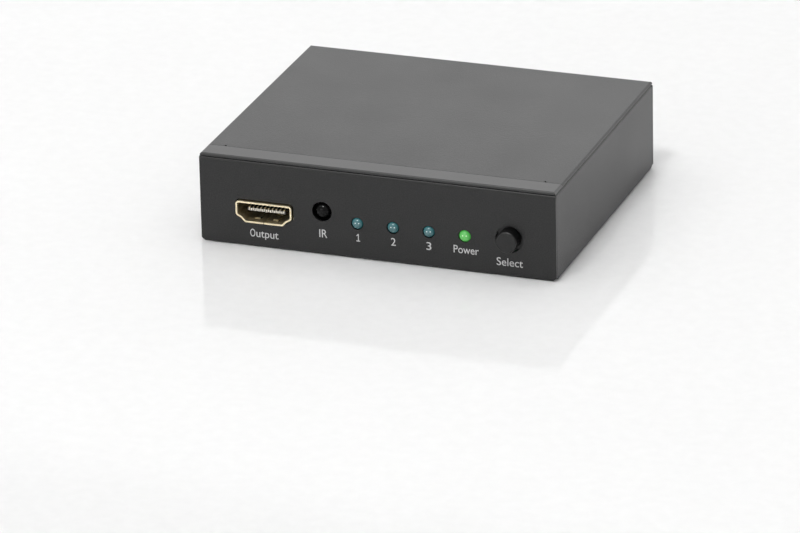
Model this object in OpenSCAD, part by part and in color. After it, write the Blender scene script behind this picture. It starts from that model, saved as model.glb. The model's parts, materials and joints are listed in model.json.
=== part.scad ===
// Three-input video switch box: a folded sheet steel case with its board, ports and select button.
// Millimetres, +Z up, front panel facing -Y, origin at the middle of the underside.

/* [Case] */
// Outer width of the case
case_w = 91.9; // [90.5:0.1:120]
// Outer depth of the case
case_d = 78.1; // [76:0.1:120]
// Height from the underside to the top of the lid
case_h = 23.35; // [22.8:0.05:34]
// Thickness of the steel sheet
sheet_t = 0.7; // [0.6:0.05:0.8]
// Outer radius of the folds along the floor
floor_fold_r = 0.85; // [0.82:0.01:1.4]
// Rounding of the upper edges of the lid and the front rail
lid_edge_r = 0.5; // [0.3:0.05:0.55]
// Rounding of the outer upper edges of the walls
wall_edge_r = 0.45; // [0.2:0.05:0.5]
// Open seam between the walls and the lid
seam_gap = 0.2; // [0.1:0.05:0.4]
// Distance from the faces of the case to the edges of the lid and the rail
lid_inset = 0.16; // [0.04:0.02:0.2]
// Bevel of the lower corners of the front and rear panels
panel_bevel = 1.05; // [0.9:0.05:1.6]
// Distance from the panels to the start of the side walls' floor folds
side_fold_start = 2.2; // [1.9:0.1:3]
// Slit between neighbouring walls at the upright corners
corner_slit = 0.15; // [0.1:0.05:0.3]
// Depth of the front rail, from the front panel to its rear edge
rail_d = 5.85; // [5.5:0.05:8]
// Height of the flange of the rail behind the front panel
rail_flange = 6; // [4:0.5:6.5]
// Height of the lid's flanges inside the side walls
lid_flange = 4.3; // [3:0.1:4.4]
// Distance from each side of the case to the lid's tongue
tongue_inset = 4.9; // [4:0.1:10]
// Reach of the lid's tongue under the front rail
tongue_reach = 3; // [2:0.5:3.5]
// Length over which the tongue is joined to the underside of the lid
tongue_root = 1; // [0.8:0.1:2]
// Width of the relief notches beside the tongue
relief_w = 0.5; // [0.4:0.1:1]
// Length of the relief notches, up to the middle of their round ends
relief_l = 0.35; // [0.3:0.05:0.6]

/* [Video ports] */
// Outer width of a port shell
port_w = 14.6; // [14.4:0.1:15.2]
// Outer height of a port shell
port_h = 5.45; // [5.4:0.05:6]
// Width of the flat underside of a port shell
port_foot_w = 9.8; // [9.4:0.1:10]
// Width across the shoulders half-way up the slopes of a port shell
port_step_w = 11.9; // [11.6:0.1:12.1]
// Height of those shoulders
port_step_h = 1.1; // [1.05:0.05:1.3]
// Height of the knees where the upright sides end
port_knee = 1.8; // [1.75:0.05:2.1]
// Thickness of the shell's sheet
port_t = 0.42; // [0.35:0.01:0.45]
// Length of a port from its mouth to its back
port_l = 11.4; // [10.6:0.1:12.5]
// How far a mouth stands out of the panel
port_proud = 0.7; // [0.3:0.1:1]
// Distance from a mouth to the tip of its tongue
tongue_recess = 2.2; // [2:0.1:2.6]
// Width of a port tongue
port_tongue_w = 10; // [9.8:0.1:10.6]
// Thickness of a port tongue
port_tongue_t = 1.1; // [1.05:0.05:1.4]
// Distance between neighbouring contacts of one row
contact_pitch = 1; // [0.95:0.01:1]
// Width of one contact
contact_w = 0.32; // [0.26:0.02:0.4]
// Distance from the left side of the case to the middle of the output port
output_inset = 16.75; // [15.5:0.05:17.5]
// Distance from the left side of the case to the middle of the last input port
last_input_inset = 16.75; // [15:0.05:18.5]
// Distance from the right side of the case to the middle of the first input port
first_input_inset = 30.5; // [29:0.5:32]

/* [Power jack] */
// Distance from the right side of the case to the middle of the power jack
jack_inset = 10; // [9:0.5:12]
// Width of the power jack body
jack_w = 9; // [8.8:0.1:9.6]
// Length of the power jack body behind the rear panel
jack_l = 13; // [12:0.5:15]
// Height of the power jack body
jack_h = 10.6; // [10:0.1:10.9]
// Height of the middle of the jack above the board
jack_axis_h = 6.2; // [5.8:0.1:6.3]
// Diameter of the bore that takes the plug
jack_bore_d = 6.4; // [6.2:0.1:6.6]
// Diameter of the centre pin
jack_pin_d = 2; // [1.7:0.1:2.5]
// Depth of the bore behind the rear panel
jack_bore_l = 9.5; // [9:0.1:10.5]
// Outer diameter of the jack's nose in the rear panel
jack_nose_d = 8.2; // [7.8:0.1:8.6]

/* [Front panel] */
// Distance from the middle of the case to the remote receiver
ir_x = -14.15; // [-14.4:0.05:-12.5]
// Height of the remote receiver above the board
ir_h = 4.85; // [4.6:0.05:5.6]
// Diameter of the receiver's window
ir_hole_d = 5.1; // [4.8:0.1:5.6]
// Diameter of the receiver's lens
ir_lens_d = 4; // [3.6:0.1:4.7]
// How far the tip of the receiver's lens stands out of the front panel
ir_proud = 0.5; // [0:0.1:0.6]
// Distance from the middle of the case to the first lamp
lamp_x = -5.05; // [-5.3:0.05:-4]
// Distance between neighbouring lamps
lamp_pitch = 9.22; // [8.6:0.02:9.4]
// Height of the lamps above the board
lamp_h = 2.75; // [2.4:0.05:3.6]
// Diameter of a lamp
lamp_d = 3; // [2.8:0.1:3.1]
// How far the tip of a lamp stands out of the panel
lamp_proud = 0.8; // [0.3:0.1:1.2]
// Length of a lamp's lens behind its dome
lamp_l = 3.4; // [3:0.1:3.8]
// Distance from the right side of the case to the button
button_inset = 12; // [11.4:0.1:13]
// Height of the button above the board
button_h = 3.27; // [3.25:0.01:4.4]
// Diameter of the button cap
button_d = 5.5; // [5:0.1:5.7]
// How far the button stands out of the panel
button_proud = 2.4; // [1.5:0.1:3]
// Rounding of the button's front edge
button_edge_r = 0.45; // [0.2:0.05:0.6]
// Travel of the button
button_travel = 0.25; // [0.15:0.05:0.3]
// Width and height of the push switch
switch_w = 6; // [5.8:0.1:6.4]

/* [Board] */
// Thickness of the circuit board
board_t = 1.6; // [1.2:0.1:1.8]
// Height of the standoffs that carry the board
standoff_h = 4.3; // [4:0.1:5]
// Diameter of the standoffs
standoff_d = 5; // [4.6:0.1:5.6]
// Distance from the sides of the board to the board screws
screw_inset = 4; // [3.6:0.1:5]
// Distance from the front panel to the front board screws
front_screw_d = 17; // [16.5:0.5:20]
// Distance from the rear panel to the rear board screws
rear_screw_d = 21; // [20:0.5:24]
// Width of the switching chip
chip_w = 12; // [8:0.5:14]
// Gap between the switching chip and its neighbours
chip_gap = 6; // [4:0.5:8]
// Width of the control chip
control_w = 6.5; // [5:0.5:7]
// Depth of the control chip
control_d = 4.4; // [4:0.1:5]
// Width of the regulator
regulator_w = 6.5; // [6:0.1:7]
// Depth of the regulator
regulator_d = 3.5; // [3:0.1:4]
// Width of the crystal
crystal_w = 5; // [3:0.1:6]
// Depth of the crystal
crystal_d = 3.2; // [2.5:0.1:4]
// Distance from the side of the board to the first storage capacitor
capacitor_inset = 10; // [9:0.5:12]
// Diameter of the storage capacitors
capacitor_d = 6.3; // [5:0.1:6.5]
// Height of the storage capacitors
capacitor_h = 7.7; // [5:0.1:8]

/* [Fasteners] */
// Shank diameter of the board screws
board_screw_d = 2.5; // [2:0.1:3]
// Shank diameter of the lid screws
lid_screw_d = 2.5; // [2:0.1:3]
// Length of the lid screws
lid_screw_l = 5; // [3:0.5:8]
// Height of the lid screws below the top of the lid
lid_screw_drop = 4.6; // [4.4:0.1:5]
// Distance of the lid screws from the middle of the case
lid_screw_x = 25; // [20:0.5:27]

/* [Clearances] */
// Clearance of the flanges of the lid and the rail inside the walls
lid_gap = 0.15; // [0.1:0.01:0.25]
// Gap between the rail and the lid
rail_gap = 0.1; // [0.08:0.02:0.3]
// Clearance from the walls to the board
board_gap = 1.2; // [1:0.1:1.6]
// Clearance round a port mouth in its panel
port_gap = 0.3; // [0.2:0.05:0.4]
// Clearance round a lamp in the panel
lamp_gap = 0.1; // [0.08:0.02:0.3]
// Clearance round the button in the panel
button_gap = 0.72; // [0.4:0.02:0.8]
// Clearance round pins and legs in the board
leg_gap = 0.15; // [0.1:0.05:0.2]
// Clearance of pieces that are pressed or moulded together
press_gap = 0.02; // [0.01:0.01:0.03]
// Running clearance of the plunger in the switch frame
plunger_gap = 0.05; // [0.03:0.01:0.08]

/* [Hidden] */
$fn = 64;
eps = 0.01;
side_x = case_w / 2;
front_y = -case_d / 2;
rear_y = case_d / 2;
wall_x = side_x - sheet_t;
front_in = front_y + sheet_t;
rear_in = rear_y - sheet_t;
lid_z = case_h - sheet_t;
rim_z = lid_z - seam_gap;
board_z = sheet_t + standoff_h;
board_top = board_z + board_t;
board_x = wall_x - board_gap;
board_front = front_in + board_gap;
board_rear = rear_in - board_gap;
lid_x = side_x - lid_inset;
flange_x = wall_x - lid_gap;
lid_front = front_y + rail_d + rail_gap;
lid_rear = rear_y - lid_inset;
tab_rear = rear_in - lid_gap;
tongue_x = side_x - tongue_inset;
output_x = -side_x + output_inset;
input_3_x = -side_x + last_input_inset;
input_1_x = side_x - first_input_inset;
input_2_x = (input_1_x + input_3_x) / 2;
jack_x = side_x - jack_inset;
jack_z = board_top + jack_axis_h;
jack_bore_end = rear_y - jack_bore_l;
ir_z = board_top + ir_h;
lamp_z = board_top + lamp_h;
lamp_r = lamp_d / 2;
button_x = side_x - button_inset;
button_z = board_top + button_h;
button_r = button_d / 2;
screw_x = board_x - screw_inset;
front_screw_y = front_y + front_screw_d;
rear_screw_y = rear_y - rear_screw_d;
board_screws_at = [
  [-screw_x, front_screw_y], [screw_x, front_screw_y], [-screw_x, rear_screw_y], [screw_x, rear_screw_y]
];
lid_screw_z = case_h - lid_screw_drop;
lid_tab_w = 9;
lid_tab_h = lid_screw_drop + 2.6;
screw_head_r = 2.3;
screw_head_h = 1.3;

// Sizes of a port
port_legs_y = [2.6, 8.6];
port_leg_w = 1.1;
port_leg_drop = board_t + 0.7;
port_tongue_z = port_h / 2;
tongue_nose_t = 0.66;
tongue_nose_l = 0.35;
port_block_y = port_l - 2.6;
contact_t = 0.2;
contact_lift = 0.07;
contact_nose = 0.04;
tail_t = 0.22;
tail_foot = 1;
spring_w = 1.3;
spring_x = 2.4;
spring_y0 = 1.75;
spring_y1 = 6.8;
spring_dip = 0.4;
slot_gap = 0.2;
port_seam = 0.2;

// Sizes of the push button
cap_back = 2.0 + sheet_t;
cap_flange_r = button_r + button_gap + 0.8;
cap_flange_y0 = sheet_t + 0.4;
cap_board_gap = 0.3;
plunger_r = 1.75;
plunger_in_cap = 2.6;
frame_t = 0.3;
switch_front = cap_back + 0.7;
base_front = switch_front + frame_t;
base_depth = 3.2;
dome_room = 0.95;
plunger_foot_r = 2.1;
plunger_foot_t = 0.5;
frame_leg_w = 0.9;
switch_pin_pitch = 4.5;

// Sizes of the lamps and the receiver
lamp_flange_r = lamp_r + 0.4;
lamp_flange_t = 1;
lamp_base_y = lamp_proud - lamp_r - lamp_l;
lead_w = 0.5;
lead_x = 0.8;
lead_top = lamp_proud - 1.7;
lead_back = 1.4;
ir_body_w = 5.6;
ir_body_d = 2.4;
ir_body_h = 6.6;
ir_lens_r = ir_lens_d / 2;
ir_lens_back = 2.6 - ir_proud;
ir_lead_pitch = 2;

function unit(v) = v / norm(v);

// Left normal of the edge from a to b
function left_of(a, b) = let (d = unit(b - a)) [-d.y, d.x];

// Outline moved inwards by t, for points given anticlockwise
function inset_points(p, t) = let (n = len(p)) [
  for (i = [0 : n - 1])
    let (m = left_of(p[(i + n - 1) % n], p[i]), k = left_of(p[i], p[(i + 1) % n]))
      p[i] + t * (m + k) / (1 + m * k)
];

// Arc that rounds the corner b between a and c
function corner_arc(a, b, c, r, n) =
  let (
    u = unit(a - b),
    v = unit(c - b),
    half = acos(u * v) / 2,
    m = b + unit(u + v) * r / sin(half),
    s = b + u * r / tan(half) - m,
    e = b + v * r / tan(half) - m,
    a0 = atan2(s.y, s.x),
    turn = (atan2(e.y, e.x) - a0 + 540) % 360 - 180
  )
  [for (i = [0 : n]) m + r * [cos(a0 + turn * i / n), sin(a0 + turn * i / n)]];

// Outline with corner i rounded by r[i]
function rounded_points(p, r, n) = let (k = len(p)) [
  for (i = [0 : k - 1]) each corner_arc(p[(i + k - 1) % k], p[i], p[(i + 1) % k], r[i], n)
];

port_points = [
  [-port_foot_w / 2, 0], [port_foot_w / 2, 0],
  [port_step_w / 2, port_step_h], [port_w / 2, port_knee],
  [port_w / 2, port_h], [-port_w / 2, port_h],
  [-port_w / 2, port_knee], [-port_step_w / 2, port_step_h]
];
port_round = 0.9;
port_hollows = [2, 7];

module block(x0, x1, y0, y1, z0, z1) {
  translate([x0, y0, z0]) cube([x1 - x0, y1 - y0, z1 - z0]);
}

// Extrudes a Y-Z outline along X
module along_x(x0, x1) {
  translate([x0, 0, 0]) rotate([90, 0, 90]) linear_extrude(x1 - x0) children();
}

// Extrudes an X-Z outline along Y
module along_y(y0, y1) {
  translate([0, y1, 0]) rotate([90, 0, 0]) linear_extrude(y1 - y0) children();
}

// Turns local +Z to the front, with its origin on the front panel
module at_front(x, z) {
  translate([x, front_y, z]) rotate([90, 0, 0]) children();
}

// Turns local +Z to the rear, with its origin on the rear panel
module at_rear(x, z) {
  translate([x, rear_y, z]) rotate([-90, 0, 0]) children();
}

// Folded sheet: legs of lengths down and across from the outer corner at the top left,
// the outer edge of the down leg rounded by tip
module fold(across, down, r, tip) {
  translate([r, -sheet_t]) square([across - r, sheet_t]);
  translate([0, tip - down]) square([sheet_t, down - r - tip]);
  translate([tip, -down]) square([sheet_t - tip, tip]);
  translate([tip, tip - down]) intersection() {
    circle(tip);
    translate([-tip, -tip]) square(tip);
  }
  translate([r, -r]) intersection() {
    difference() {
      circle(r);
      circle(r - sheet_t);
    }
    translate([-r - 1, 0]) square([r + 1, r + 1]);
  }
}

// Port outline, moved inwards by t
module port_outline(t) {
  turn = [
    for (i = [0 : len(port_points) - 1])
      len(search(i, port_hollows)) > 0 ? port_round + t : port_round - t
  ];
  polygon(rounded_points(inset_points(port_points, t), turn, 5));
}

// Pan head screw along +Z, with the seat of its head at z = 0
module screw(d, l) {
  difference() {
    union() {
      cylinder(r = screw_head_r, h = screw_head_h * 0.6);
      translate([0, 0, screw_head_h * 0.6])
        cylinder(r1 = screw_head_r, r2 = screw_head_r * 0.72, h = screw_head_h * 0.4);
      translate([0, 0, -l]) cylinder(d = d, h = l + eps);
    }
    for (a = [0, 90]) {
      rotate(a) translate([-1.3, -0.24, screw_head_h * 0.4]) cube([2.6, 0.48, screw_head_h]);
    }
  }
}

// Rectangle with its lower corners bevelled, up the bevel by rise and across it by run
function bevelled(half, top, run, rise) = [
  [-half, rise], [run - half, 0], [half - run, 0], [half, rise], [half, top], [-half, top]
];

// The tray: floor, four walls and the openings of both panels
module chassis() {
  fold_x = side_x - floor_fold_r;
  fold_y = rear_y - floor_fold_r;
  wall_y = rear_in - corner_slit;
  floor_cut = side_fold_start - floor_fold_r;
  color([0.16, 0.16, 0.16])
    difference() {
      union() {
        linear_extrude(sheet_t)
          polygon([
            [-fold_x, floor_cut - fold_y], [floor_cut - fold_x, -fold_y], [fold_x - floor_cut, -fold_y],
            [fold_x, floor_cut - fold_y], [fold_x, fold_y - floor_cut], [fold_x - floor_cut, fold_y],
            [floor_cut - fold_x, fold_y], [-fold_x, fold_y - floor_cut]
          ]);
        for (s = [-1, 1]) {
          intersection() {
            along_x(-side_x, side_x)
              translate([s * rear_y, 0]) scale([-s, -1])
                fold(2 * floor_fold_r, rim_z, floor_fold_r, wall_edge_r);
            along_y(-rear_y - 1, rear_y + 1) polygon(bevelled(side_x, rim_z, panel_bevel, panel_bevel));
          }
          intersection() {
            along_y(-wall_y, wall_y)
              translate([s * side_x, 0]) scale([-s, -1])
                fold(2 * floor_fold_r, rim_z, floor_fold_r, wall_edge_r);
            along_x(-side_x - 1, side_x + 1)
              polygon(bevelled(wall_y, rim_z, side_fold_start - rear_y + wall_y, panel_bevel));
          }
        }
      }
      front_openings();
      rear_openings();
      corner_reliefs();
      for (p = board_screws_at) {
        translate([p.x, p.y, -1]) cylinder(d = standoff_d - 1.4, h = sheet_t + 2);
      }
    }
}

// Small round reliefs at the ends of the side walls' floor folds
module corner_reliefs() {
  for (s = [-1, 1]) {
    for (k = [-1, 1]) {
      translate([s * (wall_x - 1), k * (rear_y - side_fold_start + 0.25), 0.75])
        rotate([0, s * 90, 0]) cylinder(d = 0.55, h = 3);
    }
  }
}

module front_openings() {
  reach = 2 * sheet_t;
  along_y(front_y - reach, front_in + reach)
    translate([output_x, board_top]) port_outline(-port_gap);
  at_front(ir_x, ir_z) translate([0, 0, -reach]) cylinder(d = ir_hole_d, h = 2 * reach);
  for (i = [0 : 3]) {
    at_front(lamp_x + i * lamp_pitch, lamp_z)
      translate([0, 0, -reach]) cylinder(r = lamp_r + lamp_gap, h = 2 * reach);
  }
  at_front(button_x, button_z) translate([0, 0, -reach]) cylinder(r = button_r + button_gap, h = 2 * reach);
}

module rear_openings() {
  reach = 2 * sheet_t;
  for (x = [input_1_x, input_2_x, input_3_x]) {
    along_y(rear_in - reach, rear_y + reach) translate([x, board_top]) port_outline(-port_gap);
  }
  at_rear(jack_x, jack_z) translate([0, 0, -reach]) cylinder(r = jack_nose_d / 2 + 0.15, h = 2 * reach);
  for (s = [-1, 1]) {
    at_rear(s * lid_screw_x, lid_screw_z)
      translate([0, 0, -reach]) cylinder(r = lid_screw_d / 2 + 0.2, h = 2 * reach);
  }
}

// Section of a flat plate at the height of the lid, its upper edges rounded where ends[i] is 1
module plate_section(low, high, ends) {
  r = lid_edge_r;
  translate([low, lid_z]) square([high - low, sheet_t - r]);
  translate([low + r * ends[0], case_h - r]) square([high - low - r * (ends[0] + ends[1]), r]);
  for (i = [0, 1]) {
    if (ends[i] == 1) {
      translate([i == 0 ? low + r : high - r, case_h - r]) intersection() {
        circle(r);
        translate([i == 0 ? -r : 0, 0]) square(r);
      }
    }
  }
}

// Plate across the case from y0 to y1, its sides and the given ends rounded
module top_plate(y0, y1, ends) {
  intersection() {
    along_y(y0 - 1, y1 + 1) plate_section(-lid_x, lid_x, [1, 1]);
    along_x(-side_x, side_x) plate_section(y0, y1, ends);
  }
}

// The strip along the top of the front, its flange flat against the back of the front panel
module front_rail() {
  color([0.2, 0.2, 0.2]) {
    top_plate(front_y + lid_inset, front_y + rail_d, [1, 0]);
    block(-flange_x, flange_x, front_in, front_in + sheet_t, lid_z - rail_flange, lid_z + eps);
  }
}

// The lid: a plate with flanges inside the side walls, two screw tabs and a tongue under the rail
module lid() {
  relief_y = lid_front + relief_l;
  color([0.18, 0.18, 0.18])
    difference() {
      union() {
        top_plate(lid_front, lid_rear, [0, 1]);
        for (s = [-1, 1]) {
          block(
            s > 0 ? flange_x - sheet_t : -flange_x, s > 0 ? flange_x : sheet_t - flange_x,
            lid_front + 1, tab_rear, case_h - lid_flange, lid_z + eps
          );
          block(
            s * lid_screw_x - lid_tab_w / 2, s * lid_screw_x + lid_tab_w / 2,
            tab_rear - sheet_t, tab_rear, case_h - lid_tab_h, lid_z + eps
          );
        }
        block(-tongue_x, tongue_x, lid_front, lid_front + tongue_root, lid_z - sheet_t, lid_z + eps);
        block(
          -tongue_x, tongue_x, front_y + rail_d - tongue_reach, lid_front + eps,
          lid_z - sheet_t, lid_z - press_gap
        );
      }
      for (s = [-1, 1]) {
        translate([s * (tongue_x + relief_w / 2), relief_y, lid_z - sheet_t / 2]) {
          cylinder(d = relief_w, h = 2 * sheet_t);
          block(-relief_w / 2, relief_w / 2, -relief_l - 1, 0, 0, 2 * sheet_t);
        }
        at_rear(s * lid_screw_x, lid_screw_z)
          translate([0, 0, -3 * sheet_t]) cylinder(r = lid_screw_d / 2 + press_gap, h = 2.5 * sheet_t);
      }
    }
}

module lid_screws() {
  color([0.1, 0.1, 0.1])
    for (s = [-1, 1]) {
      at_rear(s * lid_screw_x, lid_screw_z) screw(lid_screw_d, lid_screw_l);
    }
}

// Pressed-in standoffs, their spigots in the floor
module standoffs() {
  color([0.75, 0.75, 0.72])
    for (p = board_screws_at) {
      translate([p.x, p.y, 0])
        difference() {
          union() {
            translate([0, 0, sheet_t]) cylinder(d = standoff_d, h = standoff_h);
            translate([0, 0, 0.05]) cylinder(d = standoff_d - 1.4 - 2 * press_gap, h = sheet_t);
          }
          translate([0, 0, sheet_t + 0.6]) cylinder(d = board_screw_d + 2 * press_gap, h = standoff_h);
        }
    }
}

// Repeats a shape at the four legs of a port
module each_leg() {
  for (s = [-1, 1]) {
    for (y = port_legs_y) {
      translate([s * (port_w / 2 - port_t / 2), y]) children();
    }
  }
}

module leg_slots() {
  each_leg() square([port_t + 2 * leg_gap, port_leg_w + 2 * leg_gap], center = true);
}

module circuit_board() {
  color([0.05, 0.25, 0.14])
    translate([0, 0, board_z])
      linear_extrude(board_t)
        difference() {
          translate([-board_x, board_front]) square([2 * board_x, board_rear - board_front]);
          for (p = board_screws_at) {
            translate(p) circle(d = board_screw_d + 0.4);
          }
          translate([output_x, front_y - port_proud]) leg_slots();
          for (x = [input_1_x, input_2_x, input_3_x]) {
            translate([x, rear_y + port_proud]) rotate(180) leg_slots();
          }
          for (i = [0 : 3]) {
            for (s = [-1, 1]) {
              translate([lamp_x + i * lamp_pitch + s * lead_x, front_y - lamp_base_y + lead_back])
                circle(d = lead_w * 1.42 + 2 * leg_gap);
            }
          }
          for (s = [-1, 0, 1]) {
            translate([ir_x + s * ir_lead_pitch, front_y + ir_lens_back + ir_body_d / 2])
              circle(d = lead_w * 1.42 + 2 * leg_gap);
          }
          for (s = [-1, 1]) {
            translate([button_x + s * (switch_w / 2 + frame_t / 2), front_y + base_front + base_depth / 2])
              square([frame_t + 2 * leg_gap, frame_leg_w + 2 * leg_gap], center = true);
            translate([button_x + s * switch_pin_pitch / 2, front_y + base_front + base_depth + 0.3])
              circle(d = lead_w * 1.42 + 2 * leg_gap);
          }
          translate([jack_x, rear_in - 5]) square([2.4 + 2 * leg_gap, 0.4 + 2 * leg_gap], center = true);
          translate([jack_x, rear_in - jack_l - 0.2])
            square([2.4 + 2 * leg_gap, 0.4 + 2 * leg_gap], center = true);
        }
}

module board_screws() {
  color([0.7, 0.7, 0.7])
    for (p = board_screws_at) {
      translate([p.x, p.y, board_top]) screw(board_screw_d, board_t + standoff_h - 1);
    }
}

module output_place() {
  translate([output_x, front_y - port_proud, board_top]) children();
}

module input_place(x) {
  translate([x, rear_y + port_proud, board_top]) rotate([0, 0, 180]) children();
}

// Spring leaf cut from a shell wall lying along Y with its inside at +Z
module spring_leaf() {
  y0 = spring_y0 + slot_gap;
  along_x(-spring_w / 2, spring_w / 2)
    polygon([
      [spring_y1 + eps, 0], [spring_y1 + eps, port_t], [spring_y1 - 0.6, port_t],
      [y0 + 1.1, spring_dip + port_t * 0.6], [y0 + 0.5, spring_dip + port_t * 0.6], [y0, port_t],
      [y0, port_t * 0.4], [y0 + 0.65, spring_dip], [y0 + 1, spring_dip], [spring_y1 - 0.6, 0]
    ]);
}

module spring_window() {
  block(-spring_w / 2 - slot_gap, spring_w / 2 + slot_gap, spring_y0, spring_y1, -1, port_t + eps);
}

// Folded shell of a port with its legs, spring leaves and the seam along its underside
module port_shell() {
  color([0.83, 0.66, 0.33]) {
    difference() {
      union() {
        difference() {
          along_y(0, port_l) port_outline(0);
          along_y(-1, port_l + 1) port_outline(port_t);
        }
        each_leg()
          translate([-port_t / 2, -port_leg_w / 2, -port_leg_drop])
            cube([port_t, port_leg_w, port_leg_drop + port_knee + 1]);
      }
      for (s = [-1, 1]) {
        translate([s * spring_x, 0, 0]) spring_window();
        translate([s * spring_x, 0, port_h]) mirror([0, 0, 1]) spring_window();
      }
      block(-port_seam / 2, port_seam / 2, -1, port_l + 1, -1, port_t + 0.1);
      translate([0, 0, -1])
        linear_extrude(2)
          difference() {
            polygon([[-0.45, 1.0], [0.45, 1.0], [0.75, 1.75], [-0.75, 1.75]]);
            polygon([[-0.33, 1.1], [0.33, 1.1], [0.6, 1.65], [-0.6, 1.65]]);
            translate([-0.2, 0.5]) square([0.4, 0.65]);
          }
    }
    for (s = [-1, 1]) {
      translate([s * spring_x, 0, 0]) spring_leaf();
      translate([s * spring_x, 0, port_h]) mirror([0, 0, 1]) spring_leaf();
    }
  }
}

// Contacts of one port: strips on both faces of the tongue, bent over its tip, with tails to the board
module port_contacts(grow) {
  color([0.85, 0.72, 0.4]) {
    for (i = [0 : 9]) {
      contact((i - 4.5) * contact_pitch, 1, grow);
    }
    for (i = [0 : 8]) {
      contact((i - 4) * contact_pitch, -1, grow);
    }
  }
}

// Section of one contact over the tongue, on its upper face
function contact_points() =
  let (
    out = port_tongue_t / 2 + contact_lift,
    y0 = tongue_recess - contact_nose,
    y1 = tongue_recess + tongue_nose_l,
    tip = tongue_nose_t / 2
  )
  [
    [y0, 0.06 - tip], [y0 + contact_t, 0.06 - tip], [y0 + contact_t, tip - 0.12], [y1 + 0.1, out - contact_t],
    [port_l + tail_t, out - contact_t], [port_l + tail_t, out], [y1, out], [y0, tip + 0.05]
  ];

module contact(x, side, grow) {
  w = contact_w / 2 + grow;
  top = port_tongue_z + side * (port_tongue_t / 2 + contact_lift - contact_t / 2) + contact_t / 2;
  along_x(x - w, x + w)
    translate([0, port_tongue_z]) scale([1, side]) polygon(inset_points(contact_points(), -grow));
  block(x - w, x + w, port_l, port_l + tail_t, 0, top);
  block(x - w, x + w, port_l, port_l + tail_foot, 0, 0.18);
}

// Moulded block and tongue of a port
module port_tongue() {
  half = port_tongue_t / 2;
  nose = tongue_nose_t / 2;
  y1 = tongue_recess + tongue_nose_l;
  color([0.08, 0.08, 0.08])
    difference() {
      union() {
        along_y(port_block_y, port_l) port_outline(port_t + press_gap);
        along_x(-port_tongue_w / 2, port_tongue_w / 2)
          translate([0, port_tongue_z])
            polygon([
              [tongue_recess, -nose], [y1, -half], [port_block_y + eps, -half],
              [port_block_y + eps, half], [y1, half], [tongue_recess, nose]
            ]);
      }
      intersection() {
        port_contacts(press_gap);
        block(-port_w, port_w, 0, port_l + eps, 0, port_h);
      }
    }
}

module output_shell() {
  output_place() port_shell();
}

module output_tongue() {
  output_place() port_tongue();
}

module output_contacts() {
  output_place() port_contacts(0);
}

module input_1_shell() {
  input_place(input_1_x) port_shell();
}

module input_1_tongue() {
  input_place(input_1_x) port_tongue();
}

module input_1_contacts() {
  input_place(input_1_x) port_contacts(0);
}

module input_2_shell() {
  input_place(input_2_x) port_shell();
}

module input_2_tongue() {
  input_place(input_2_x) port_tongue();
}

module input_2_contacts() {
  input_place(input_2_x) port_contacts(0);
}

module input_3_shell() {
  input_place(input_3_x) port_shell();
}

module input_3_tongue() {
  input_place(input_3_x) port_tongue();
}

module input_3_contacts() {
  input_place(input_3_x) port_contacts(0);
}

// Power jack: moulded body with a round nose through the rear panel
module jack_body() {
  back = rear_in - jack_l;
  color([0.07, 0.07, 0.07])
    difference() {
      union() {
        block(jack_x - jack_w / 2, jack_x + jack_w / 2, back, rear_in, board_top, board_top + jack_h);
        at_rear(jack_x, jack_z)
          translate([0, 0, -sheet_t - eps]) cylinder(d = jack_nose_d, h = sheet_t + eps);
      }
      at_rear(jack_x, jack_z) {
        translate([0, 0, -jack_bore_l]) cylinder(d = jack_bore_d, h = jack_bore_l + 1);
        translate([0, 0, -jack_l - sheet_t - 1])
          cylinder(d = jack_pin_d + 2 * press_gap, h = jack_l + sheet_t);
      }
      block(
        jack_x - 1.2 - press_gap, jack_x + 1.2 + press_gap, rear_in - 5.2 - press_gap, rear_in - 0.6,
        board_top - 1, jack_z
      );
    }
}

// Centre pin, seated on the end of the bore and riveted to its terminal behind the body
module jack_pin() {
  color([0.8, 0.8, 0.78]) {
    at_rear(jack_x, jack_z) {
      translate([0, 0, -jack_l - sheet_t])
        cylinder(d = jack_pin_d, h = jack_l + sheet_t - 1.2 - jack_pin_d / 4);
      translate([0, 0, -1.2 - jack_pin_d / 4])
        cylinder(r1 = jack_pin_d / 2, r2 = jack_pin_d / 4, h = jack_pin_d / 4);
      translate([0, 0, -jack_bore_l]) cylinder(d = jack_pin_d + 1.4, h = 0.6);
      translate([0, 0, -jack_l - sheet_t - 0.4]) cylinder(d = jack_pin_d + 1, h = 0.4);
    }
    block(
      jack_x - 1.2, jack_x + 1.2, rear_in - jack_l - 0.4, rear_in - jack_l,
      board_z - 0.6, jack_z
    );
  }
}

// Sleeve spring in the floor of the bore, with its leg through the board
module jack_spring() {
  low = jack_z - jack_bore_d / 2;
  color([0.8, 0.78, 0.7])
    along_x(jack_x - 1.2, jack_x + 1.2)
      polygon([
        [rear_in - 5.2, board_z - 0.6], [rear_in - 4.8, board_z - 0.6], [rear_in - 4.8, low - 0.2],
        [rear_in - 3.4, low + 0.35], [rear_in - 1.2, low - 0.45], [rear_in - 1.2, low - 0.1],
        [rear_in - 3.4, low + 0.7], [rear_in - 5.2, low + 0.05]
      ]);
}

// Remote receiver: moulded block with a domed lens standing through its window
module ir_receiver() {
  color([0.05, 0.05, 0.06]) {
    at_front(ir_x, ir_z)
      rotate_extrude()
        intersection() {
          union() {
            translate([0, -ir_lens_back]) square([ir_lens_r, ir_lens_back + ir_proud - ir_lens_r]);
            translate([0, ir_proud - ir_lens_r]) circle(ir_lens_r);
          }
          translate([0, -ir_lens_back - eps]) square([ir_lens_r + 1, ir_lens_back + ir_proud + 1]);
        }
    block(
      ir_x - ir_body_w / 2, ir_x + ir_body_w / 2, front_y + ir_lens_back - eps,
      front_y + ir_lens_back + ir_body_d, ir_z - ir_body_h / 2, ir_z + ir_body_h / 2
    );
  }
}

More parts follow.
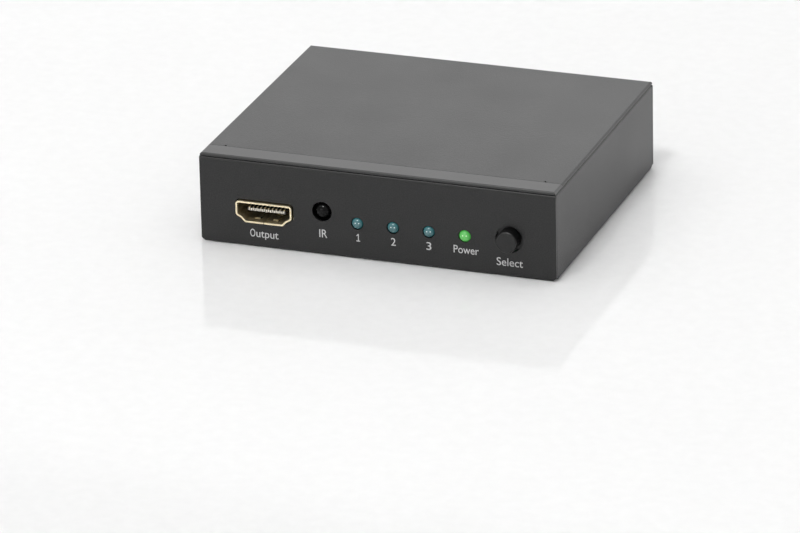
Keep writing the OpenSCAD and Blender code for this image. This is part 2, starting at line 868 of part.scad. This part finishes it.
module ir_leads() {
  y = front_y + ir_lens_back + ir_body_d / 2;
  color([0.75, 0.75, 0.72])
    for (s = [-1, 0, 1]) {
      block(
        ir_x + s * ir_lead_pitch - lead_w / 2, ir_x + s * ir_lead_pitch + lead_w / 2,
        y - lead_w / 2, y + lead_w / 2, board_z - 0.8, ir_z - ir_body_h / 2
      );
    }
}

// Lens of lamp number i: domed cylinder with a flange behind the panel and slots for its posts
module lamp(i) {
  x = lamp_x + i * lamp_pitch;
  difference() {
    at_front(x, lamp_z)
      rotate_extrude() {
        translate([0, lamp_base_y]) square([lamp_flange_r, lamp_flange_t]);
        translate([0, lamp_base_y]) square([lamp_r, lamp_l]);
        translate([0, lamp_proud - lamp_r])
          intersection() {
            circle(lamp_r);
            square(lamp_r);
          }
      }
    lamp_posts(x, press_gap);
  }
}

// Posts inside a lamp, grown on all sides
module lamp_posts(x, grow) {
  w = lead_w / 2 + grow;
  for (s = [-1, 1]) {
    block(
      x + s * lead_x - w, x + s * lead_x + w, front_y - lead_top - grow, front_y - lamp_base_y + eps,
      lamp_z - w, lamp_z + w
    );
  }
}

// Posts of lamp number i with their leads bent down through the board
module lamp_leads(i) {
  x = lamp_x + i * lamp_pitch;
  y = front_y - lamp_base_y;
  color([0.78, 0.78, 0.75]) {
    lamp_posts(x, 0);
    for (s = [-1, 1]) {
      block(
        x + s * lead_x - lead_w / 2, x + s * lead_x + lead_w / 2,
        y, y + lead_back + lead_w / 2, lamp_z - lead_w / 2, lamp_z + lead_w / 2
      );
      block(
        x + s * lead_x - lead_w / 2, x + s * lead_x + lead_w / 2,
        y + lead_back - lead_w / 2, y + lead_back + lead_w / 2, board_z - 0.8, lamp_z
      );
    }
  }
}

module lamp_1() {
  color([0.45, 0.65, 0.7]) lamp(0);
}

module lamp_2() {
  color([0.45, 0.65, 0.7]) lamp(1);
}

module lamp_3() {
  color([0.45, 0.65, 0.7]) lamp(2);
}

module power_lamp() {
  color([0.35, 0.8, 0.3]) lamp(3);
}

module lamp_1_leads() {
  lamp_leads(0);
}

module lamp_2_leads() {
  lamp_leads(1);
}

module lamp_3_leads() {
  lamp_leads(2);
}

module power_lamp_leads() {
  lamp_leads(3);
}

// Button cap: round nose with a softened edge, a keeper flange and a socket for the plunger
module button_cap() {
  r = button_edge_r;
  color([0.06, 0.06, 0.06])
    at_front(button_x, button_z)
      difference() {
        rotate_extrude() {
          translate([0, -cap_back]) square([button_r, cap_back + button_proud - r]);
          translate([0, button_proud - r]) square([button_r - r, r]);
          translate([button_r - r, button_proud - r])
            intersection() {
              circle(r);
              square(r);
            }
          translate([0, -cap_back]) square([cap_flange_r, cap_back - cap_flange_y0]);
        }
        translate([0, 0, -cap_back - 1]) cylinder(r = plunger_r + press_gap, h = plunger_in_cap + 1);
        block(
          -cap_flange_r - 1, cap_flange_r + 1, -cap_flange_r - 1, cap_board_gap - button_h,
          -cap_back - 1, -sheet_t / 2
        );
      }
}

// Plunger from the cap's socket through the switch frame to the dome
module switch_plunger() {
  foot = base_front + plunger_foot_t;
  color([0.55, 0.5, 0.4])
    at_front(button_x, button_z) {
      translate([0, 0, -foot]) cylinder(r = plunger_r, h = foot - cap_back + plunger_in_cap);
      translate([0, 0, -foot]) cylinder(r = plunger_foot_r, h = plunger_foot_t);
    }
}

// Sheet frame of the push switch: front plate with the plunger's bore, two cheeks with legs
module switch_frame() {
  h = switch_w / 2;
  color([0.72, 0.72, 0.7])
    difference() {
      union() {
        block(
          button_x - h - frame_t, button_x + h + frame_t, front_y + switch_front, front_y + base_front,
          button_z - h, button_z + h
        );
        for (s = [-1, 1]) {
          translate([button_x + s * (h + frame_t / 2), 0, 0]) {
            block(-frame_t / 2, frame_t / 2, front_y + switch_front, front_y + base_front + base_depth,
              button_z - h, button_z + h);
            block(
              -frame_t / 2, frame_t / 2, front_y + base_front + base_depth / 2 - frame_leg_w / 2,
              front_y + base_front + base_depth / 2 + frame_leg_w / 2, board_z - 0.6, button_z
            );
          }
        }
      }
      at_front(button_x, button_z)
        translate([0, 0, -base_front - 1]) cylinder(r = plunger_r + plunger_gap, h = frame_t + 2);
    }
}

// Moulded base of the push switch with the dome's room in its front
module switch_base() {
  h = switch_w / 2;
  color([0.1, 0.1, 0.1])
    difference() {
      block(
        button_x - h, button_x + h, front_y + base_front, front_y + base_front + base_depth,
        button_z - h, button_z + h
      );
      at_front(button_x, button_z)
        translate([0, 0, -base_front - plunger_foot_t - dome_room])
          cylinder(r = plunger_foot_r + 0.4, h = plunger_foot_t + dome_room + 1);
      for (s = [-1, 1]) {
        switch_pin(s, press_gap);
      }
    }
}

// Thin spring dome between the plunger and the floor of its room
module switch_dome() {
  r = plunger_foot_r + 0.3;
  top = base_front + plunger_foot_t;
  color([0.8, 0.8, 0.8])
    at_front(button_x, button_z)
      translate([0, 0, -top])
        rotate_extrude()
          polygon([
            [0, 0], [0.7, 0], [r * 0.72, -0.36], [r, -dome_room + 0.08], [r, -dome_room],
            [r - 0.12, -dome_room], [r * 0.69, -0.46], [0.65, -0.1], [0, -0.1]
          ]);
}

// One pin of the push switch, from its base down through the board
module switch_pin(s, grow) {
  y = front_y + base_front + base_depth;
  x = button_x + s * switch_pin_pitch / 2;
  w = lead_w / 2 + grow;
  block(x - w, x + w, y - 1 - grow, y + 0.3 + lead_w / 2, button_z - 1 - w, button_z - 1 + w);
  block(x - w, x + w, y + 0.3 - lead_w / 2, y + 0.3 + lead_w / 2, board_z - 0.6, button_z - 1);
}

module switch_pins() {
  color([0.78, 0.78, 0.75])
    for (s = [-1, 1]) {
      switch_pin(s, 0);
    }
}

module switch_chip() {
  color([0.09, 0.09, 0.1])
    translate([-chip_w / 2, -chip_w / 2, board_top]) cube([chip_w, chip_w, 0.9]);
}

module control_chip() {
  color([0.09, 0.09, 0.1])
    translate([chip_w / 2 + chip_gap, -control_d / 2, board_top]) cube([control_w, control_d, 1.1]);
}

module regulator() {
  color([0.09, 0.09, 0.1])
    translate([board_x - capacitor_inset - capacitor_d - regulator_w / 2, capacitor_d, board_top])
      cube([regulator_w, regulator_d, 1.6]);
}

module capacitors() {
  color([0.7, 0.7, 0.72])
    for (i = [0, 1]) {
      translate([board_x - capacitor_inset - i * (capacitor_d + 1), 0, board_top])
        cylinder(d = capacitor_d, h = capacitor_h);
    }
}

module crystal() {
  color([0.8, 0.8, 0.78])
    translate([-chip_w / 2 - chip_gap - crystal_w, -crystal_d / 2, board_top])
      cube([crystal_w, crystal_d, 1]);
}

chassis();
front_rail();
lid();
lid_screws();
standoffs();
circuit_board();
board_screws();
output_shell();
output_tongue();
output_contacts();
input_1_shell();
input_1_tongue();
input_1_contacts();
input_2_shell();
input_2_tongue();
input_2_contacts();
input_3_shell();
input_3_tongue();
input_3_contacts();
jack_body();
jack_pin();
jack_spring();
ir_receiver();
ir_leads();
lamp_1();
lamp_2();
lamp_3();
power_lamp();
lamp_1_leads();
lamp_2_leads();
lamp_3_leads();
power_lamp_leads();
button_cap();
switch_plunger();
switch_frame();
switch_base();
switch_dome();
switch_pins();
switch_chip();
control_chip();
regulator();
capacitors();
crystal();
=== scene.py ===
import json
import math

import bpy
from mathutils import Matrix, Vector


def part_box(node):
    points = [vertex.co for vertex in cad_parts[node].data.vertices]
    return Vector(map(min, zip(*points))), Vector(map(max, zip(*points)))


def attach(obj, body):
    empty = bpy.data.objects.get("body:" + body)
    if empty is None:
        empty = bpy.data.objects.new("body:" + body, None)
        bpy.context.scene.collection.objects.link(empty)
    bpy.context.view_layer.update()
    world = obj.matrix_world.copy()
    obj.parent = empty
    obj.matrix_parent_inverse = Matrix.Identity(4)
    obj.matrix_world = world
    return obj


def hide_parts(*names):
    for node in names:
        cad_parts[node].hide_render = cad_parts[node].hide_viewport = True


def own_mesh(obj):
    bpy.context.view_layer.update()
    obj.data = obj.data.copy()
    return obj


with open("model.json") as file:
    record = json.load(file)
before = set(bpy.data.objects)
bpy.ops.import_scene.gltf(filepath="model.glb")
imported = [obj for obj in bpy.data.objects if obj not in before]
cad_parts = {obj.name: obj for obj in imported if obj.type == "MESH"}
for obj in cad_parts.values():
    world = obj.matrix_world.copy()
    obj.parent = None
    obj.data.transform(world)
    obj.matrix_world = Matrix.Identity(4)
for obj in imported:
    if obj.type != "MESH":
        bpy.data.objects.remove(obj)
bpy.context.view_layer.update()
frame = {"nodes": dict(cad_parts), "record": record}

MM = 0.001
NODES = frame["nodes"]
FRONT_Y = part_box("chassis")[0][1]

# Camera, in degrees, millimetres and pixels of an 800 pixel wide picture.
CAMERA_AZIMUTH = 20.0646
CAMERA_ELEVATION = 22.7382
CAMERA_ROLL = -1.2445
CAMERA_DISTANCE = 1462.586
CAMERA_SHIFT_RIGHT = 5.4791
CAMERA_SHIFT_UP = -0.9034
CAMERA_FOCAL_PIXELS = 5998.98
PICTURE_WIDTH = 800
SENSOR_WIDTH = 36.0
NEAREST_SEEN = 0.05
FARTHEST_SEEN = 50.0
AIM_POINT = Vector((0.0, FRONT_Y, -0.35 * MM))

# Studio: strength of the surround, lights in watts, places and sizes in metres.
WORLD_STRENGTH = 0.4
LIGHTS = [
    # name, place, width, height, power
    ("ceiling", (-0.2, 0.1, 1.7), 3.2, 3.0, 28.0),
    ("softbox", (-0.1, -0.75, 1.45), 0.34, 0.34, 10.0),
    ("back_wall", (0.1, 2.4, 0.65), 6.0, 1.2, 27.0),
    ("front_card", (-0.7, -2.0, 0.6), 1.4, 0.9, 5.0),
]
FLOOR_SIZE = 6.0
FLOOR_IOR = 1.18
FLOOR_SCATTER = 0.0026

# Front legends: text, left and right edge, baseline height and capital height
# in millimetres.
LEGENDS = [
    ("O", -33.08, -31.76, 2.75, 2.02),
    ("utput", -31.48, -25.70, 2.75, 2.02),
    ("IR", -14.97, -12.92, 4.67, 2.09),
    ("2", 3.62, 4.85, 4.69, 1.98),
    ("3", 12.74, 14.02, 4.68, 1.99),
    ("Power", 19.74, 26.18, 4.82, 1.98),
    ("Select", 30.74, 37.44, 2.87, 2.03),
]
PRINT_LIFT = 0.012
PRINT_BOLD = 0.002
PRINT_CURVE_STEPS = 6
DESCENDER_SCALE = 0.75

# The numeral one with its flag and foot, in shares of its width and height.
ONE_LEGEND = (-5.34, -4.38, 4.69, 1.99)
ONE_SHAPE = [
    (0.0, 0.0), (1.0, 0.0), (1.0, 0.13), (0.66, 0.13), (0.66, 1.0), (0.45, 1.0),
    (0.06, 0.82), (0.06, 0.67), (0.42, 0.80), (0.42, 0.13), (0.0, 0.13),
]

# Painted highlights: pale discs just off each lamp's dome that stand in for the glints on the ends
# of its two posts, in millimetres.
LAMPS = ["lamp_1", "lamp_2", "lamp_3", "power_lamp"]
LAMP_RADIUS = 1.5
POST_GLINT_X = (-0.24, 0.62)
POST_GLINT_Z = 0.37
POST_GLINT_RADIUS = 0.15
POST_GLINT_LIFT = 0.008
POST_GLINT_SIDES = 16

# Lamp lenses: where the rim's colour ends and the middle's begins, and the finish.
LENS_RIM_END = 0.15
LENS_MIDDLE_START = 0.65
LENS_ROUGHNESS = (0.10, 0.16)
LENS_GRAIN = 500.0
LENS_CLEARNESS = 0.15
PLASTIC_IOR = 1.5

# Part of the noise that the colours and the roughness are spread over.
NOISE_LOW = 0.3
NOISE_HIGH = 0.7


def node(tree, kind, **values):
    """A shader node with its input sockets and properties set."""
    made = tree.nodes.new(kind)
    for name, value in values.items():
        if hasattr(made, name):
            setattr(made, name, value)
        else:
            made.inputs[name.replace("_", " ")].default_value = value
    return made


def new_material(name):
    """An empty node material with a shader and its output."""
    material = bpy.data.materials.new(name)
    material.use_nodes = True
    tree = material.node_tree
    tree.nodes.clear()
    shader = node(tree, "ShaderNodeBsdfPrincipled")
    output = node(tree, "ShaderNodeOutputMaterial")
    tree.links.new(shader.outputs["BSDF"], output.inputs["Surface"])
    return material, tree, shader


def noise(tree, scale, detail=2.0):
    """Noise in object space, scale in cells per metre."""
    coordinates = node(tree, "ShaderNodeTexCoord")
    texture = node(tree, "ShaderNodeTexNoise", Scale=scale, Detail=detail)
    tree.links.new(coordinates.outputs["Object"], texture.inputs["Vector"])
    return texture.outputs["Fac"]


def ramp(tree, source, low, high, start=NOISE_LOW, end=NOISE_HIGH):
    """Colour between low and high, following source."""
    made = node(tree, "ShaderNodeValToRGB")
    made.color_ramp.elements[0].position = start
    made.color_ramp.elements[0].color = (*low, 1.0)
    made.color_ramp.elements[1].position = end
    made.color_ramp.elements[1].color = (*high, 1.0)
    tree.links.new(source, made.inputs["Fac"])
    return made.outputs["Color"]


def spread(tree, source, low, high):
    """Value between low and high, following source."""
    made = node(tree, "ShaderNodeMapRange")
    made.inputs["From Min"].default_value = NOISE_LOW
    made.inputs["From Max"].default_value = NOISE_HIGH
    made.inputs["To Min"].default_value = low
    made.inputs["To Max"].default_value = high
    tree.links.new(source, made.inputs["Value"])
    return made.outputs["Result"]


def surface(name, low, high, rough, grain=4000.0, bump=0.0, metallic=0.0,
            ior=PLASTIC_IOR, cloud=60.0):
    """Surface whose colour, roughness and relief vary with fine grain and soft clouds."""
    material, tree, shader = new_material(name)
    fine = noise(tree, grain)
    broad = noise(tree, cloud, 3.0)
    tree.links.new(ramp(tree, fine, low, high), shader.inputs["Base Color"])
    tree.links.new(spread(tree, broad, *rough), shader.inputs["Roughness"])
    shader.inputs["Metallic"].default_value = metallic
    shader.inputs["IOR"].default_value = ior
    if bump:
        relief = node(tree, "ShaderNodeBump", Strength=1.0, Distance=bump * MM)
        tree.links.new(fine, relief.inputs["Height"])
        tree.links.new(relief.outputs["Normal"], shader.inputs["Normal"])
    return material


def metal(name, low, high, rough, grain):
    """Bare or plated metal with a trace of relief."""
    return surface(name, low, high, rough, grain, 0.002, metallic=1.0)


def lens_material(name, rim, middle, glow=None, glow_strength=0.0):
    """Milky tinted epoxy, paler over the cup in its middle, lit from inside if it has a glow."""
    material, tree, shader = new_material(name)
    coordinates = node(tree, "ShaderNodeTexCoord")
    centred = node(tree, "ShaderNodeMapping",
                   Location=(-1.0, 0.0, -1.0), Scale=(2.0, 0.0, 2.0))
    cup = node(tree, "ShaderNodeTexGradient", gradient_type="SPHERICAL")
    tree.links.new(coordinates.outputs["Generated"], centred.inputs["Vector"])
    tree.links.new(centred.outputs["Vector"], cup.inputs["Vector"])
    tint = ramp(tree, cup.outputs["Fac"], rim, middle, LENS_RIM_END, LENS_MIDDLE_START)
    tree.links.new(tint, shader.inputs["Base Color"])
    finish = spread(tree, noise(tree, LENS_GRAIN), *LENS_ROUGHNESS)
    tree.links.new(finish, shader.inputs["Roughness"])
    shader.inputs["Transmission Weight"].default_value = LENS_CLEARNESS
    shader.inputs["IOR"].default_value = PLASTIC_IOR
    if glow:
        shader.inputs["Emission Color"].default_value = (*glow, 1.0)
        shader.inputs["Emission Strength"].default_value = glow_strength
    return material


def grey(value):
    return (value, value, value)


# Colours run from low to high, then come the range of roughness, the grain in cells
# per metre and the relief in millimetres.
MATERIALS = {
    "case_paint": surface(
        "case_paint", grey(0.004), grey(0.014), (0.33, 0.37), 3200.0, 0.055),
    "rail_paint": surface(
        "rail_paint", grey(0.008), grey(0.014), (0.28, 0.31), 5200.0, 0.008, ior=1.6),
    "black_screw": surface(
        "black_screw", grey(0.018), grey(0.026), (0.25, 0.4), 5000.0, 0.004),
    "nickel": metal(
        "nickel", (0.58, 0.57, 0.54), (0.68, 0.67, 0.64), (0.18, 0.3), 3000.0),
    "gold_plate": metal(
        "gold_plate", (0.97, 0.83, 0.55), (1.0, 0.90, 0.66), (0.35, 0.43), 2500.0),
    "contact_gold": metal(
        "contact_gold", (0.80, 0.76, 0.66), (0.88, 0.85, 0.76), (0.25, 0.35), 2500.0),
    "port_plastic": surface(
        "port_plastic", grey(0.014), grey(0.022), (0.4, 0.55), 5000.0, 0.004),
    "board_laminate": surface(
        "board_laminate", (0.010, 0.055, 0.028), (0.016, 0.085, 0.045),
        (0.35, 0.45), 1500.0, 0.004),
    "lamp_clear": lens_material("lamp_clear", (0.02, 0.17, 0.19), (0.10, 0.22, 0.24)),
    "lamp_green": lens_material(
        "lamp_green", (0.03, 0.24, 0.05), (0.14, 0.46, 0.14), (0.08, 0.42, 0.06), 0.4),
    "receiver_black": surface(
        "receiver_black", grey(0.003), grey(0.006), (0.10, 0.13), 3000.0, ior=1.26),
    "button_black": surface(
        "button_black", grey(0.003), grey(0.007), (0.30, 0.38), 5000.0, 0.006),
    "plunger_plastic": surface(
        "plunger_plastic", (0.32, 0.28, 0.20), (0.40, 0.35, 0.26),
        (0.4, 0.5), 3000.0, 0.004),
    "chip_epoxy": surface(
        "chip_epoxy", grey(0.014), grey(0.024), (0.5, 0.65), 6000.0, 0.006),
    "can_aluminium": metal(
        "can_aluminium", grey(0.62), grey(0.74), (0.25, 0.4), 2500.0),
    "legend_print": surface(
        "legend_print", grey(0.54), grey(0.62), (0.45, 0.6), 6000.0, 0.002),
    # Pale colours of the painted highlights for the post glints on the lamp domes.
    "post_glint_clear": surface(
        "post_glint_clear", (0.62, 0.76, 0.76), (0.72, 0.84, 0.84), (0.2, 0.3)),
    "post_glint_green": surface(
        "post_glint_green", (0.62, 0.88, 0.55), (0.74, 0.95, 0.66), (0.2, 0.3)),
}


def dress_nodes():
    """Gives each CAD node the material of its slot."""
    slots = {entry["node"]: entry["material_slot"] for entry in frame["record"]["subparts"]}
    for name, piece in NODES.items():
        piece.data.materials.clear()
        piece.data.materials.append(MATERIALS[slots[name]])


def add_piece(name, mesh, material, body="case"):
    """An object that rides on a CAD body."""
    piece = bpy.data.objects.new(name, mesh)
    bpy.context.scene.collection.objects.link(piece)
    mesh.materials.clear()
    mesh.materials.append(MATERIALS[material])
    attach(piece, body)
    return piece


def text_mesh(text, name):
    """Flat mesh of a text in the X-Y plane, one unit high."""
    curve = bpy.data.curves.new(name, "FONT")
    curve.body = text
    curve.resolution_u = PRINT_CURVE_STEPS
    curve.offset = PRINT_BOLD
    holder = bpy.data.objects.new(name, curve)
    bpy.context.scene.collection.objects.link(holder)
    bpy.context.view_layer.update()
    evaluated = holder.evaluated_get(bpy.context.evaluated_depsgraph_get())
    mesh = bpy.data.meshes.new_from_object(evaluated)
    bpy.data.objects.remove(holder)
    return mesh


def on_front(x, z, lift):
    """Point on the front panel, lifted off it, from millimetres."""
    return Vector((x * MM, FRONT_Y - lift * MM, z * MM))


def add_legends():
    """Prints the generic words and numbers on the front panel."""
    cap = text_mesh("H", "cap_height")
    cap_height = max(v.co.y for v in cap.vertices)
    bpy.data.meshes.remove(cap)
    for text, left, right, base, height in LEGENDS:
        mesh = text_mesh(text, "legend_" + text)
        low = min(v.co.x for v in mesh.vertices)
        high = max(v.co.x for v in mesh.vertices)
        across = (right - left) / (high - low)
        for v in mesh.vertices:
            rise = v.co.y * height / cap_height
            if rise < 0:
                rise *= DESCENDER_SCALE
            v.co = on_front(left + (v.co.x - low) * across, base + rise, PRINT_LIFT)
        add_piece("legend_" + text.lower(), mesh, "legend_print")
    left, right, base, height = ONE_LEGEND
    points = [
        on_front(left + u * (right - left), base + w * height, PRINT_LIFT)
        for u, w in ONE_SHAPE
    ]
    mesh = bpy.data.meshes.new("legend_1")
    mesh.from_pydata(points, [], [range(len(points))])
    add_piece("legend_1", mesh, "legend_print")


def dome_point(middle, x, z):
    """Point just off a lamp's dome, x and z in millimetres from the lamp's axis."""
    reach = LAMP_RADIUS + POST_GLINT_LIFT
    depth = math.sqrt(reach * reach - x * x - z * z)
    return middle + Vector((x, -depth, z)) * MM


def add_painted_post_glints():
    """Painted highlights: pale discs just off each lamp's dome, where the ends of its two posts
    glint.
    """
    for name in LAMPS:
        low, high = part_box(name)
        middle = Vector((
            (low[0] + high[0]) / 2, low[1] + LAMP_RADIUS * MM, (low[2] + high[2]) / 2))
        points, faces = [], []
        for x in POST_GLINT_X:
            first = len(points)
            for i in range(POST_GLINT_SIDES):
                angle = 2 * math.pi * i / POST_GLINT_SIDES
                points.append(dome_point(
                    middle,
                    x + POST_GLINT_RADIUS * math.cos(angle),
                    POST_GLINT_Z + POST_GLINT_RADIUS * math.sin(angle)))
            faces.append(range(first, first + POST_GLINT_SIDES))
        mesh = bpy.data.meshes.new(name + "_painted_post_glints")
        mesh.from_pydata(points, [], faces)
        material = "post_glint_green" if name == "power_lamp" else "post_glint_clear"
        add_piece(name + "_painted_post_glints", mesh, material)


def add_spring_dome():
    """The switch's spring dome, which gives way under the plunger when the button is pressed,
    copied from its CAD node into a piece of its own on the case; the script does not bend it.
    """
    node_dome = NODES["switch_dome"]
    mesh = node_dome.data.copy()
    mesh.transform(node_dome.matrix_world)
    dome = add_piece("spring_dome", mesh, "nickel")
    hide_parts("switch_dome")
    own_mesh(dome)


def add_camera():
    """Long-lens camera in front of the box, to its right and above it."""
    azimuth = math.radians(CAMERA_AZIMUTH)
    elevation = math.radians(CAMERA_ELEVATION)
    roll = math.radians(CAMERA_ROLL)
    back = Vector((
        math.sin(azimuth) * math.cos(elevation),
        -math.cos(azimuth) * math.cos(elevation),
        math.sin(elevation),
    ))
    level = Vector((math.cos(azimuth), math.sin(azimuth), 0.0))
    upright = back.cross(level)
    right = level * math.cos(roll) + upright * math.sin(roll)
    up = upright * math.cos(roll) - level * math.sin(roll)
    place = back * CAMERA_DISTANCE + right * CAMERA_SHIFT_RIGHT + up * CAMERA_SHIFT_UP
    data = bpy.data.cameras.new("camera")
    data.sensor_width = SENSOR_WIDTH
    data.lens = CAMERA_FOCAL_PIXELS / PICTURE_WIDTH * SENSOR_WIDTH
    data.clip_start = NEAREST_SEEN
    data.clip_end = FARTHEST_SEEN
    camera = bpy.data.objects.new("camera", data)
    turn = Matrix((right, up, back)).transposed().to_4x4()
    camera.matrix_world = Matrix.Translation(AIM_POINT + place * MM) @ turn
    bpy.context.scene.collection.objects.link(camera)
    bpy.context.scene.camera = camera


def floor_material():
    """Pale glossy sheet, milky enough for light to spread a few millimetres in it."""
    material = surface(
        "floor_white", grey(0.72), grey(0.74), (0.04, 0.06), 300.0, ior=FLOOR_IOR)
    shader = material.node_tree.nodes["Principled BSDF"]
    shader.subsurface_method = "BURLEY"
    shader.inputs["Subsurface Weight"].default_value = 1.0
    shader.inputs["Subsurface Radius"].default_value = (1.0, 1.0, 1.0)
    shader.inputs["Subsurface Scale"].default_value = FLOOR_SCATTER
    return material


def add_floor():
    """Plain table under the box."""
    half = FLOOR_SIZE / 2
    corners = [(-half, -half, 0), (half, -half, 0), (half, half, 0), (-half, half, 0)]
    mesh = bpy.data.meshes.new("floor")
    mesh.from_pydata(corners, [], [(0, 1, 2, 3)])
    floor = bpy.data.objects.new("floor", mesh)
    bpy.context.scene.collection.objects.link(floor)
    mesh.materials.append(floor_material())


def add_area(name, place, width, height, power):
    """Soft light that points from place to the box."""
    data = bpy.data.lights.new(name, "AREA")
    data.shape = "RECTANGLE"
    data.size = width
    data.size_y = height
    data.energy = power
    light = bpy.data.objects.new(name, data)
    turn = (-Vector(place)).to_track_quat("-Z", "Y").to_matrix().to_4x4()
    light.matrix_world = Matrix.Translation(Vector(place)) @ turn
    bpy.context.scene.collection.objects.link(light)


def add_light():
    """Dim surround, a pale ceiling, a softbox, a bright wall behind the box and a card in front."""
    world = bpy.data.worlds.new("studio")
    bpy.context.scene.world = world
    world.use_nodes = True
    background = world.node_tree.nodes["Background"]
    background.inputs["Color"].default_value = (1.0, 1.0, 1.0, 1.0)
    background.inputs["Strength"].default_value = WORLD_STRENGTH
    for light in LIGHTS:
        add_area(*light)


dress_nodes()
add_legends()
add_painted_post_glints()
add_spring_dome()
add_camera()
add_floor()
add_light()
bpy.context.scene.view_settings.view_transform = "Standard"
